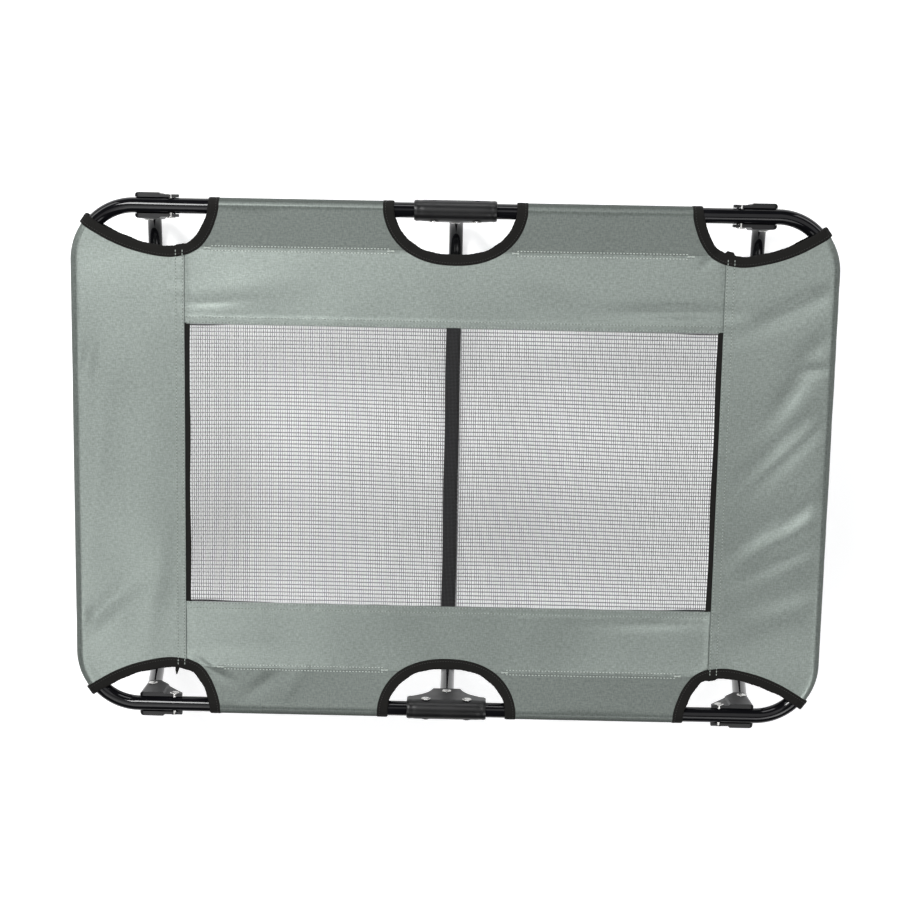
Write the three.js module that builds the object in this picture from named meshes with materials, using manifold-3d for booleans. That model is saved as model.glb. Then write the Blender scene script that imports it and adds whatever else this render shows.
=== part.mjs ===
// Raised folding dog bed, in millimetres, +Z up, long side along X.
// The origin is on the floor under the middle of the bed. Each half of the frame turns down on
// the hinge rivets in the centre brackets, and each end leg turns inwards on its leg rivets.
import * as THREE from "three";
import { mergeVertices } from "three/addons/utils/BufferGeometryUtils.js";
import Module from "manifold-3d";

const wasm = await Module();
wasm.setup();

// ---- Driving dimensions ----
const RAIL_Y = 300.5; // rail centreline, from the middle of the bed
const RAIL_Z = 200; // rail centreline, from the floor
const END_X = 440.5; // end tube centreline
const CORNER_R = 65; // bend of the rail corners
const TUBE_R = 9;
const TUBE_WALL = 1.2;
const TUBE_SIDES = 12;
const BEND_STEPS = 5;
const ARC_STEPS = 8; // each round stretch of an outline
const RIVET_SIDES = 10;

const HINGE_X = 25; // hinge rivets, from the middle of the bed
const RAIL_RIVET_X = 332.5;
const LEG_PIVOT_X = 366;
const LEG_PIVOT_Z = RAIL_Z - 33;
const LEG_SPLAY = THREE.MathUtils.degToRad(9.5);
const LEG_BEND_R = 57;
const LEG_TOP = 17; // leg tube above its pivot
const CENTRE_LEG_TOP = RAIL_Z - 1;

const CHANNEL_HALF = 9.6; // inside half width of every bracket, round a tube
const SADDLE_R = 12.3; // outside of a centre bracket
const SADDLE_HALF = 48.5; // half its length
const BELL_HALF = 17; // half width of its side plates at the bottom
const BELL_DROP = 45.5; // bottom of its side plates, below the rail

const END_BRACKET = { inner: 323, step: 346, outer: 375, top: 3, bottom: 45.5 };
const END_RAIL_HALF = 13; // outside half width where it holds the rail
const END_LEG_HALF = 15; // outside half width where it holds the leg
const END_ROUND = 5;

const SHANK_R = 3;
const HOLE_R = 3.4;
const HEAD_R = 6.2;
const HEAD_HIGH = 2.2;
const GAP = 0.3; // between parts that touch

const CLOTH = 1.6; // the cover's solids
const CLOTH_Z = RAIL_Z + 0.2; // their underside
const MESH_THICK = 1.2;
const SLEEVE_IN = TUBE_R + 0.5;
const TAPE = 2.6; // binding tape, folded over the cloth's edge
const TAPE_WIDTH = 11.7;
const SEAM_X = 317; // between the end panels and the side panels
const WINDOW_REAR = 164;
const WINDOW_FRONT = -172;
const STRAP_HALF = 8.5;
const GRIP_CUT = { a: 84, b: 73, y: 311 }; // half an ellipse round each centre bracket
const OUTSIDE = 340; // beyond the cover, to cut past its edges

// Edge of a corner opening in the cover, from the rail to the end tube.
const CORNER_CUT = [
  [276, OUTSIDE],
  [276, 311],
  [279, 288],
  [289, 266],
  [306, 248],
  [335, 242],
  [372, 248],
  [410, 263],
  [444, 283],
  [475, 303],
];

// ---- Solids ----
function solidOf(geometry) {
  const bare = geometry.clone();
  bare.deleteAttribute("normal");
  bare.deleteAttribute("uv");
  const merged = mergeVertices(bare, 1e-4);
  const mesh = new wasm.Mesh({
    numProp: 3,
    vertProperties: new Float32Array(merged.attributes.position.array),
    triVerts: new Uint32Array(merged.index.array),
  });
  return new wasm.Manifold(mesh);
}

function geometryOf(solid) {
  const mesh = solid.getMesh();
  const geometry = new THREE.BufferGeometry();
  geometry.setAttribute("position", new THREE.BufferAttribute(mesh.vertProperties, 3));
  geometry.setIndex(new THREE.BufferAttribute(mesh.triVerts, 1));
  geometry.computeVertexNormals();
  return geometry;
}

/** A path that steps only where it bends: a straight run is one step. */
class StationPath extends THREE.Curve {
  constructor(stations) {
    super();
    this.stations = stations;
  }
  at(u) {
    return this.stations[Math.round(u * (this.stations.length - 1))];
  }
  getPointAt(u) {
    return this.at(u).point.clone();
  }
  getTangentAt(u) {
    return this.at(u).tangent.clone();
  }
}

const AXIS = {
  x: new THREE.Vector3(1, 0, 0),
  y: new THREE.Vector3(0, 1, 0),
  z: new THREE.Vector3(0, 0, 1),
};

/** A U-shaped path in the plane of two directions: down one arm, across, and up the other. */
function uPath(armStart, armEnd, halfSpan, bendR, along, across, origin) {
  const place = (a, b) => origin.clone().addScaledVector(along, a).addScaledVector(across, b);
  const stations = [{ point: place(armStart, halfSpan), tangent: along.clone() }];
  for (const turn of [0, 1]) {
    for (let i = 0; i <= BEND_STEPS; i++) {
      const angle = (Math.PI / 2) * (turn + i / BEND_STEPS);
      const bendY = (turn ? -1 : 1) * (halfSpan - bendR);
      const point = place(armEnd - bendR + bendR * Math.sin(angle), bendY + bendR * Math.cos(angle));
      const tangent = along.clone().multiplyScalar(Math.cos(angle));
      tangent.addScaledVector(across, -Math.sin(angle));
      stations.push({ point, tangent });
    }
  }
  stations.push({ point: place(armStart, -halfSpan), tangent: along.clone().negate() });
  return new StationPath(stations);
}

/** A regular polygon whose flat sides touch a circle of radius r. */
function roundOutline(r, turned = 0) {
  const corner = r / Math.cos(Math.PI / TUBE_SIDES);
  return Array.from({ length: TUBE_SIDES }, (_, i) => {
    const angle = ((i + 0.5) * 2 * Math.PI) / TUBE_SIDES + turned;
    return new THREE.Vector2(corner * Math.cos(angle), corner * Math.sin(angle));
  });
}

function sweep(path, outerR, innerR, turned) {
  const shape = new THREE.Shape(roundOutline(outerR, turned));
  if (innerR) shape.holes.push(new THREE.Path(roundOutline(innerR, turned)));
  const steps = path.stations.length - 1;
  return solidOf(new THREE.ExtrudeGeometry(shape, { extrudePath: path, steps }));
}

/** An outline in two directions, extruded both ways along the third. */
function slab(shape, right, up, half) {
  const depth = 2 * half;
  const geometry = new THREE.ExtrudeGeometry(shape, { depth, curveSegments: ARC_STEPS, bevelEnabled: false });
  geometry.translate(0, 0, -half);
  const out = new THREE.Vector3().crossVectors(right, up);
  return solidOf(geometry.applyMatrix4(new THREE.Matrix4().makeBasis(right, up, out)));
}

const outline = (points) => new THREE.Shape(points.map(([x, y]) => new THREE.Vector2(x, y)));

function block(low, high) {
  const size = high.map((value, i) => value - low[i]);
  const centre = high.map((value, i) => (value + low[i]) / 2);
  return solidOf(new THREE.BoxGeometry(...size).translate(...centre));
}

function crossHole(x, y, z) {
  const length = 4 * END_LEG_HALF;
  return solidOf(new THREE.CylinderGeometry(HOLE_R, HOLE_R, length, RIVET_SIDES).translate(x, y, z));
}

function mirrored(points, side, end = 1) {
  const turned = points.map(([x, y]) => [side * x, end * y]);
  return side * end < 0 ? turned.reverse() : turned;
}

// ---- The group and its materials ----
const group = new THREE.Group();

const finish = (color, roughness, metalness) =>
  new THREE.MeshStandardMaterial({ color, roughness, metalness });
const FINISHES = {
  tube: () => finish(0x141517, 0.22, 0.4),
  bracket: () => finish(0x2c2d30, 0.5, 0),
  rivet: () => finish(0xd8d8d6, 0.2, 1),
  cloth: () => finish(0x8c9891, 0.85, 0),
  mesh: () => finish(0x55585a, 0.8, 0),
  tape: () => finish(0x262724, 0.8, 0),
};

function add(name, shape, kind, place = group) {
  const geometry = shape.isBufferGeometry ? shape : geometryOf(shape);
  const mesh = new THREE.Mesh(geometry, FINISHES[kind]());
  mesh.name = name;
  place.add(mesh);
  return mesh;
}

const SIDES = [
  ["left", -1],
  ["right", 1],
];
const ENDS = [
  ["rear", 1],
  ["front", -1],
];

// ---- Frame ----
function framePath(side, start) {
  const along = AXIS.x.clone().multiplyScalar(side);
  const origin = new THREE.Vector3(0, 0, RAIL_Z);
  return uPath(start, END_X, RAIL_Y, CORNER_R, along, AXIS.y, origin);
}

/** A half-frame: a bent tube whose two ends are swaged round about the hinge rivets. */
function frameTube(side) {
  let tube = sweep(framePath(side, HINGE_X), TUBE_R, TUBE_R - TUBE_WALL);
  for (const [, end] of ENDS) {
    const ball = new THREE.SphereGeometry(TUBE_R, TUBE_SIDES, TUBE_SIDES / 2);
    ball.rotateX(Math.PI / 2).rotateY(Math.PI / 2);
    tube = tube.add(solidOf(ball.translate(side * HINGE_X, end * RAIL_Y, RAIL_Z)));
    tube = tube.subtract(crossHole(side * HINGE_X, end * RAIL_Y, RAIL_Z));
    tube = tube.subtract(crossHole(side * RAIL_RIVET_X, end * RAIL_Y, RAIL_Z));
  }
  return tube;
}

/** A leg hanging down from its pivot axis, its section turned to lay a flat side on the floor. */
function legTube(top, drop, turned) {
  const down = AXIS.z.clone().negate();
  const path = uPath(-top, drop, RAIL_Y, LEG_BEND_R, down, AXIS.y, new THREE.Vector3());
  let tube = sweep(path, TUBE_R, TUBE_R - TUBE_WALL, turned);
  for (const [, end] of ENDS) tube = tube.subtract(crossHole(0, end * RAIL_Y, 0));
  return tube;
}

// ---- Brackets ----
/** A saddle over both tube ends: round on top, with bell-shaped side plates. */
function centreBracket() {
  const wall = new THREE.Shape();
  wall.moveTo(SADDLE_R, -BELL_DROP);
  wall.lineTo(SADDLE_R, 0);
  wall.absarc(0, 0, SADDLE_R, 0, Math.PI, false);
  wall.lineTo(-SADDLE_R, -BELL_DROP);
  wall.lineTo(-CHANNEL_HALF, -BELL_DROP);
  wall.lineTo(-CHANNEL_HALF, 0);
  wall.absarc(0, 0, CHANNEL_HALF, Math.PI, 0, true);
  wall.lineTo(CHANNEL_HALF, -BELL_DROP);
  const saddle = slab(wall, AXIS.y, AXIS.z, SADDLE_HALF);

  const bell = new THREE.Shape();
  bell.moveTo(-BELL_HALF, -BELL_DROP);
  bell.lineTo(BELL_HALF, -BELL_DROP);
  bell.quadraticCurveTo(BELL_HALF + 6, -19, SADDLE_HALF, -12);
  bell.lineTo(SADDLE_HALF, SADDLE_R + 1);
  bell.lineTo(-SADDLE_HALF, SADDLE_R + 1);
  bell.lineTo(-SADDLE_HALF, -12);
  bell.quadraticCurveTo(-BELL_HALF - 6, -19, -BELL_HALF, -BELL_DROP);
  let bracket = saddle.intersect(slab(bell, AXIS.x, AXIS.z, SADDLE_R + 1));
  for (const x of [-HINGE_X, HINGE_X]) bracket = bracket.subtract(crossHole(x, 0, 0));
  return bracket.subtract(crossHole(0, 0, LEG_PIVOT_Z - RAIL_Z));
}

/** A channel under the rail: its plates hold the rail above a web, and the leg below it. */
function endBracket(side) {
  const { inner, step, outer, top, bottom } = END_BRACKET;
  const plan = new THREE.Shape();
  plan.moveTo(inner, -END_RAIL_HALF);
  plan.lineTo(step - 2, -END_RAIL_HALF);
  plan.lineTo(step, -END_LEG_HALF);
  plan.lineTo(outer - END_ROUND, -END_LEG_HALF);
  plan.absarc(outer - END_ROUND, -END_LEG_HALF + END_ROUND, END_ROUND, -Math.PI / 2, 0, false);
  plan.absarc(outer - END_ROUND, END_LEG_HALF - END_ROUND, END_ROUND, 0, Math.PI / 2, false);
  plan.lineTo(step, END_LEG_HALF);
  plan.lineTo(step - 2, END_RAIL_HALF);
  plan.lineTo(inner, END_RAIL_HALF);
  const sideView = new THREE.Shape();
  sideView.moveTo(inner, -2);
  sideView.lineTo(outer - 16.5, -bottom);
  sideView.lineTo(outer, -bottom);
  sideView.lineTo(outer, top - END_ROUND);
  sideView.absarc(outer - END_ROUND, top - END_ROUND, END_ROUND, 0, Math.PI / 2, false);
  sideView.lineTo(inner, top);

  const webTop = -TUBE_R - GAP;
  const webUnder = webTop - 3;
  const stopUnder = LEG_PIVOT_Z - RAIL_Z + TUBE_R + 1;
  // The leg's inner side, which the stop wall faces, leans inwards going up.
  const faceAt = (z) => {
    const axisX = LEG_PIVOT_X - (z + RAIL_Z - LEG_PIVOT_Z) * Math.tan(LEG_SPLAY);
    return axisX - (TUBE_R + 2 * GAP) / Math.cos(LEG_SPLAY);
  };
  const stop = outline([
    [faceAt(stopUnder) - 3, stopUnder],
    [faceAt(stopUnder), stopUnder],
    [faceAt(webUnder + 1), webUnder + 1],
    [faceAt(webUnder + 1) - 3, webUnder + 1],
  ]);

  let bracket = slab(plan, AXIS.x, AXIS.y, 2 * bottom);
  bracket = bracket.intersect(slab(sideView, AXIS.x, AXIS.z, END_LEG_HALF + 1));
  bracket = bracket.subtract(
    block([inner - 1, -CHANNEL_HALF, webTop], [outer + 1, CHANNEL_HALF, top + 1]),
  );
  bracket = bracket.subtract(
    block([inner - 1, -CHANNEL_HALF, -bottom - 1], [outer + 1, CHANNEL_HALF, webUnder]),
  );
  bracket = bracket.add(slab(stop, AXIS.x, AXIS.z, CHANNEL_HALF + 1));
  bracket = bracket.subtract(crossHole(RAIL_RIVET_X, 0, 0));
  bracket = bracket.subtract(crossHole(LEG_PIVOT_X, 0, LEG_PIVOT_Z - RAIL_Z));
  return side > 0 ? bracket : bracket.mirror([1, 0, 0]);
}

/** A rivet along Y with a low round head on each end, over parts of the given half width. */
function rivet(half) {
  const seat = half + GAP;
  const head = [
    [SHANK_R, seat],
    [HEAD_R, seat],
    [HEAD_R, seat + 0.3 * HEAD_HIGH],
    [0.6 * HEAD_R, seat + 0.85 * HEAD_HIGH],
    [0, seat + HEAD_HIGH],
  ];
  const profile = [...head.map(([r, y]) => [r, -y]).reverse(), ...head];
  return new THREE.LatheGeometry(
    profile.map(([r, y]) => new THREE.Vector2(r, y)),
    RIVET_SIDES,
  );
}

// ---- Cover ----
/** Cloth of one thickness over a half-frame: a sheet between the rails and a sleeve round them. */
function clothShape(side, thickness) {
  const path = framePath(side, STRAP_HALF);
  const sheet = new THREE.Shape();
  sheet.moveTo(0, -RAIL_Y);
  sheet.lineTo(END_X - CORNER_R, -RAIL_Y);
  sheet.absarc(END_X - CORNER_R, CORNER_R - RAIL_Y, CORNER_R, -Math.PI / 2, 0, false);
  sheet.absarc(END_X - CORNER_R, RAIL_Y - CORNER_R, CORNER_R, 0, Math.PI / 2, false);
  sheet.lineTo(0, RAIL_Y);
  let flat = slab(sheet, AXIS.x, AXIS.y, thickness / 2);
  if (side < 0) flat = flat.mirror([1, 0, 0]);
  flat = flat.translate([0, 0, CLOTH_Z + thickness / 2]);
  return flat.add(sweep(path, SLEEVE_IN + thickness)).subtract(sweep(path, SLEEVE_IN));
}

function rectangle(x0, x1, y0, y1) {
  return [
    [x0, y0],
    [x1, y0],
    [x1, y1],
    [x0, y1],
  ];
}

/** Everything above and below an outline on the floor plan. */
function column(points) {
  return slab(outline(points), AXIS.x, AXIS.y, 2 * RAIL_Z);
}

const cornerCurve = new THREE.SplineCurve(
  CORNER_CUT.map(([x, y]) => new THREE.Vector2(x, y)),
);

/** The corner opening's edge, moved towards the opening by a distance. */
function cornerEdge(inwards) {
  const steps = 18;
  return Array.from({ length: steps + 1 }, (_, i) => {
    const at = cornerCurve.getPoint(i / steps);
    const along = cornerCurve.getTangent(i / steps);
    return [at.x - along.y * inwards, at.y + along.x * inwards];
  });
}

/** The hand-hold's edge, from the middle of the bed out to the rail. */
function gripEdge(inwards) {
  const steps = 9;
  const arc = Array.from({ length: steps + 1 }, (_, i) => {
    const angle = (Math.PI / 2) * (i / steps);
    const a = GRIP_CUT.a - inwards;
    const b = GRIP_CUT.b - inwards;
    return [a * Math.sin(angle), GRIP_CUT.y - b * Math.cos(angle)];
  });
  return [...arc, [GRIP_CUT.a - inwards, OUTSIDE]];
}

function cornerOpening(inwards, side, end) {
  const edge = cornerEdge(inwards);
  return column(mirrored([...edge, [OUTSIDE * 2, OUTSIDE]], side, end));
}

function gripOpening(inwards, side, end) {
  const points = [...gripEdge(inwards), [-1, OUTSIDE], [-1, gripEdge(inwards)[0][1]]];
  return column(mirrored(points, side, end));
}

function cover(sideName, side) {
  const cloth = clothShape(side, CLOTH);
  const tape = clothShape(side, TAPE);

  const far = END_X + CORNER_R;
  let endPanel = cloth.intersect(
    column(mirrored(rectangle(SEAM_X + GAP, far, -OUTSIDE, OUTSIDE), side)),
  );
  for (const [endName, end] of ENDS) {
    const cut = cornerOpening(-GAP, side, end);
    endPanel = endPanel.subtract(cut);

    const window = Math.abs(end > 0 ? WINDOW_REAR : WINDOW_FRONT) + GAP;
    const inner = GAP;
    const outer = SEAM_X - GAP;
    const sidePanel = cloth
      .intersect(column(mirrored(rectangle(inner, outer, window, OUTSIDE), side, end)))
      .subtract(cut)
      .subtract(gripOpening(-GAP, side, end));
    add(`side_panel_${endName}_${sideName}`, sidePanel, "cloth");

    const cornerBand = cornerOpening(0, side, end).subtract(cornerOpening(TAPE_WIDTH, side, end));
    add(`corner_binding_${sideName}_${endName}`, tape.intersect(cornerBand), "tape");

    const beyondFold = column(mirrored(rectangle(inner, outer, 0, OUTSIDE), side, end));
    const gripRing = gripOpening(0, side, end).subtract(gripOpening(TAPE_WIDTH, side, end));
    const gripBand = gripRing.intersect(beyondFold);
    add(`grip_binding_${endName}_${sideName}`, tape.intersect(gripBand), "tape");
  }
  add(`end_panel_${sideName}`, endPanel, "cloth");

  const meshX = [STRAP_HALF + GAP, SEAM_X - GAP].map((x) => side * x).sort((a, b) => a - b);
  const mesh = block(
    [meshX[0], WINDOW_FRONT + GAP, CLOTH_Z],
    [meshX[1], WINDOW_REAR - GAP, CLOTH_Z + MESH_THICK],
  );
  add(`mesh_${sideName}`, mesh, "mesh");
}

// ---- Assembly ----
for (const [sideName, side] of SIDES) {
  add(`${sideName}_frame_tube`, frameTube(side), "tube");

  const drop = (LEG_PIVOT_Z - TUBE_R) / Math.cos(LEG_SPLAY);
  const leg = add(`${sideName}_leg`, legTube(LEG_TOP, drop, -side * LEG_SPLAY), "tube");
  leg.position.set(side * LEG_PIVOT_X, 0, LEG_PIVOT_Z);
  leg.rotation.y = -side * LEG_SPLAY;

  for (const [endName, end] of ENDS) {
    const name = `${sideName}_${endName}`;
    const bracket = add(`end_bracket_${name}`, endBracket(side), "bracket");
    bracket.position.set(0, end * RAIL_Y, RAIL_Z);
    const y = end * RAIL_Y;
    add(`hinge_rivet_${name}`, rivet(SADDLE_R), "rivet").position.set(side * HINGE_X, y, RAIL_Z);
    const railRivet = add(`rail_rivet_${name}`, rivet(END_RAIL_HALF), "rivet");
    railRivet.position.set(side * RAIL_RIVET_X, y, RAIL_Z);
    const legRivet = add(`leg_rivet_${name}`, rivet(END_LEG_HALF), "rivet");
    legRivet.position.set(side * LEG_PIVOT_X, y, LEG_PIVOT_Z);
  }
  cover(sideName, side);
}

const centreTube = legTube(CENTRE_LEG_TOP - LEG_PIVOT_Z, LEG_PIVOT_Z - TUBE_R, 0);
const centreLeg = add("centre_leg", centreTube, "tube");
centreLeg.position.z = LEG_PIVOT_Z;
for (const [endName, end] of ENDS) {
  add(`centre_bracket_${endName}`, centreBracket(), "bracket").position.set(0, end * RAIL_Y, RAIL_Z);
  add(`centre_leg_rivet_${endName}`, rivet(SADDLE_R), "rivet").position.set(0, end * RAIL_Y, LEG_PIVOT_Z);
}
const strap = block(
  [-STRAP_HALF, WINDOW_FRONT + GAP, CLOTH_Z],
  [STRAP_HALF, WINDOW_REAR - GAP, CLOTH_Z + CLOTH],
);
add("centre_strap", strap, "tape");

export default group;
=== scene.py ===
import math

import bmesh
import bpy
import numpy as np
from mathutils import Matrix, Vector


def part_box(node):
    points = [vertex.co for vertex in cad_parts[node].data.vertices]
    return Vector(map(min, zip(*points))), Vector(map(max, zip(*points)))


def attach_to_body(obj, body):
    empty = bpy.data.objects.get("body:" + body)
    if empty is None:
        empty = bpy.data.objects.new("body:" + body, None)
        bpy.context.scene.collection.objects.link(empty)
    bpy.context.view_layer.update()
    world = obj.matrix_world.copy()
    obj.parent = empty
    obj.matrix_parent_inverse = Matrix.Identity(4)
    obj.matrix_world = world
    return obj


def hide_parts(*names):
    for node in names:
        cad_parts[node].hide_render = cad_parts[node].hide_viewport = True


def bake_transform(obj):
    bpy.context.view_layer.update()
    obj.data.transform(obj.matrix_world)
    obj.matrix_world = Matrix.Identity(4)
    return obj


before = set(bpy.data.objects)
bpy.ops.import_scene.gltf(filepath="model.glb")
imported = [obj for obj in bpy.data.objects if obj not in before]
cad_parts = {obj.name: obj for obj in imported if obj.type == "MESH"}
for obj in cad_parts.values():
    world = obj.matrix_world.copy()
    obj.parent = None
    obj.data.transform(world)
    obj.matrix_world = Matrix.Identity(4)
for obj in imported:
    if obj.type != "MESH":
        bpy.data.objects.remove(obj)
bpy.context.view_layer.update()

# ---- Dimensions in millimetres. x and y are from the middle of the bed, z is from the floor ----
MM = 0.001


def node_box(node):
    """A CAD node's lowest and highest corners, in millimetres."""
    return [np.array(corner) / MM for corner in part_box(node)]


def node_centre(node):
    return sum(node_box(node)) / 2


TUBE_LOW, TUBE_HIGH = node_box("right_frame_tube")
TUBE_R = (TUBE_HIGH[2] - TUBE_LOW[2]) / 2
RAIL_Z = (TUBE_HIGH[2] + TUBE_LOW[2]) / 2
RAIL_Y = TUBE_HIGH[1] - TUBE_R
END_X = TUBE_HIGH[0] - TUBE_R
HINGE_X = TUBE_LOW[0] + TUBE_R
CORNER_R = 65
BEND_CENTRE = np.array([END_X - CORNER_R, RAIL_Y - CORNER_R])
TUBE_WALL = 1.2
LEG_BEND_R = 57
LEG_PIVOT = node_centre("leg_rivet_right_rear")
LEG_TOP = 17  # an end leg above its pivot
LEG_SPLAY = math.radians(9.5)
SADDLE_LOW, SADDLE_HIGH = node_box("centre_bracket_rear")
SADDLE_R = SADDLE_HIGH[2] - RAIL_Z
SADDLE_HALF = SADDLE_HIGH[0]
BELL_DROP = RAIL_Z - SADDLE_LOW[2]
BELL_HALF = 17
SADDLE_WALL = 2.7

CLOTH = 0.6
SLEEVE_R = TUBE_R + 1.0  # middle of the cloth round a tube
SHEET_Z = RAIL_Z + 1.0  # middle of the cloth between the sleeves
STITCH_IN = 48  # the sleeves' stitching, inwards from the rail
STITCH_Y = RAIL_Y - STITCH_IN
SEAM_X = node_box("end_panel_right")[0][0]
WINDOW = {"rear": node_box("mesh_right")[1][1], "front": -node_box("mesh_right")[0][1]}
STRAP_HALF = node_box("centre_strap")[1][0]
GRIP_A, GRIP_B, GRIP_Y = 84, 73, RAIL_Y + 10.5  # the hand-hold is half a full ellipse
GRIP_POWER = 2.25
TAPE_WIDTH = 11.7
TAPE_HALF = 1.15
TAPE_STEP = 2.4  # between rows of its points
TUCK = 3.0  # cloth inside the folded tape
HEM = 9.5

SIDES = {"left": -1, "right": 1}
ENDS = {"rear": 1, "front": -1}


def quarter(side_name, end_name):
    """A quarter's directions along x and y, and how far its window reaches from the middle."""
    return SIDES[side_name], ENDS[end_name], WINDOW[end_name]


# Edge of a corner opening from the rail to the end tube, in the right rear quarter.
CORNER_EDGE = [
    (276, RAIL_Y),
    (279, 288),
    (289, 266),
    (306, 249),
    (335, 242),
    (372, 248),
    (402, 259),
]
CORNER_ANGLE = math.radians(35.9)  # where that edge meets the end tube, along its bend


# ---- Vectors, curves and grids ----
def unit(vectors):
    vectors = np.asarray(vectors, float)
    return vectors / np.maximum(np.linalg.norm(vectors, axis=-1, keepdims=True), 1e-12)


def smooth_step(low, high, value):
    t = np.clip((value - low) / (high - low), 0, 1)
    return t * t * (3 - 2 * t)


def run_along(points):
    """Distance along a line to each of its points."""
    steps = np.linalg.norm(np.diff(points, axis=0), axis=1)
    return np.concatenate([[0], np.cumsum(steps)])


def resample(points, step):
    """Points at equal steps along a line."""
    points = np.asarray(points, float)
    along = run_along(points)
    count = max(2, round(along[-1] / step) + 1)
    at = np.linspace(0, along[-1], count)
    return np.stack([np.interp(at, along, column) for column in points.T], axis=1)


def spline(points, steps=8):
    """A smooth curve through points."""
    p = np.asarray(points, float)
    p = np.vstack([2 * p[0] - p[1], p, 2 * p[-1] - p[-2]])
    made = []
    for i in range(1, len(p) - 2):
        for t in np.linspace(0, 1, steps, endpoint=False):
            a = 2 * p[i] + (p[i + 1] - p[i - 1]) * t
            b = (2 * p[i - 1] - 5 * p[i] + 4 * p[i + 1] - p[i + 2]) * t * t
            c = (3 * p[i] - p[i - 1] - 3 * p[i + 1] + p[i + 2]) * t * t * t
            made.append((a + b + c) / 2)
    return np.array(made + [p[-2]])


def circle(count):
    """Equal angles all the way round."""
    return np.linspace(0, 2 * math.pi, count, endpoint=False)


def tangents(points):
    return unit(np.gradient(np.asarray(points, float), axis=0))


def grid_faces(rows, columns, wrap_rows=False, wrap_columns=False, first=0):
    """Four-sided faces between rows of points."""
    faces = []
    for r in range(rows if wrap_rows else rows - 1):
        for c in range(columns if wrap_columns else columns - 1):
            r2, c2 = (r + 1) % rows, (c + 1) % columns
            corners = (r * columns + c, r * columns + c2, r2 * columns + c2, r2 * columns + c)
            faces.append(tuple(first + i for i in corners))
    return faces


def closed_faces(rows, columns, first=0):
    """Faces round rows of points, and a cap on the first row and on the last."""
    last = first + rows * columns
    caps = [tuple(reversed(range(first, first + columns))), tuple(range(last - columns, last))]
    return grid_faces(rows, columns, wrap_columns=True, first=first) + caps


def clip(points, uvs, faces, value):
    """Cuts a mesh along the line where value is 0 and keeps the side where it is positive."""
    points, uvs, value = list(points), list(uvs), list(value)
    cuts, kept = {}, []
    for face in faces:
        inside = [value[i] > 0 for i in face]
        if not any(inside):
            continue
        if all(inside):
            kept.append(face)
            continue
        made = []
        for a, b in zip(face, face[1:] + face[:1]):
            if value[a] > 0:
                made.append(a)
            if (value[a] > 0) != (value[b] > 0):
                key = (min(a, b), max(a, b))
                if key not in cuts:
                    t = value[key[0]] / (value[key[0]] - value[key[1]])
                    cuts[key] = len(points)
                    points.append(points[key[0]] * (1 - t) + points[key[1]] * t)
                    uvs.append(uvs[key[0]] * (1 - t) + uvs[key[1]] * t)
                made.append(cuts[key])
        kept.append(tuple(made))
    used = sorted({i for face in kept for i in face})
    new = {old: i for i, old in enumerate(used)}
    faces = [tuple(new[i] for i in face) for face in kept]
    return np.array(points)[used], np.array(uvs)[used], faces


def add_mesh(name, points, faces, material, uvs=None, sharp=40, flip=False):
    """A mesh object from points in millimetres. uvs, one a point, place its pattern."""
    if flip:
        faces = [tuple(reversed(face)) for face in faces]
    mesh = bpy.data.meshes.new(name)
    mesh.from_pydata((np.reshape(points, (-1, 3)) * MM).tolist(), [], faces)
    if uvs is not None:
        layer = mesh.uv_layers.new(name="pattern")
        corners = np.zeros(len(mesh.loops), np.int32)
        mesh.loops.foreach_get("vertex_index", corners)
        layer.data.foreach_set("uv", np.asarray(uvs, np.float32)[corners].ravel())
    mesh.polygons.foreach_set("use_smooth", [True] * len(mesh.polygons))
    mesh.set_sharp_from_angle(angle=math.radians(sharp))
    mesh.materials.append(material)
    mesh.update()
    made = bpy.data.objects.new(name, mesh)
    bpy.context.scene.collection.objects.link(made)
    return made


def ribbon(name, rows, material, spacing, flip=False):
    """A closed strip from rows of points, its pattern spaced along it and across it."""
    rows = np.array(rows)
    count, columns = rows.shape[:2]
    uvs = [(i * spacing[0], j * spacing[1]) for i in range(count) for j in range(columns)]
    return add_mesh(name, rows, closed_faces(count, columns), material, uvs, flip=flip)


def thicken(piece, thickness, offset=0.0):
    """Gives a sheet its thickness. Its cut edges stay crisp."""
    edges = bmesh.new()
    edges.from_mesh(piece.data)
    for edge in edges.edges:
        if edge.is_boundary:
            edge.smooth = False
    edges.to_mesh(piece.data)
    edges.free()
    made = piece.modifiers.new("thickness", "SOLIDIFY")
    made.thickness, made.offset = thickness * MM, offset
    return piece


def bevel(piece, width, angle):
    made = piece.modifiers.new("edges", "BEVEL")
    made.width, made.segments = width * MM, 3
    made.limit_method, made.angle_limit = "ANGLE", math.radians(angle)
    made.harden_normals = True
    return piece


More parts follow.
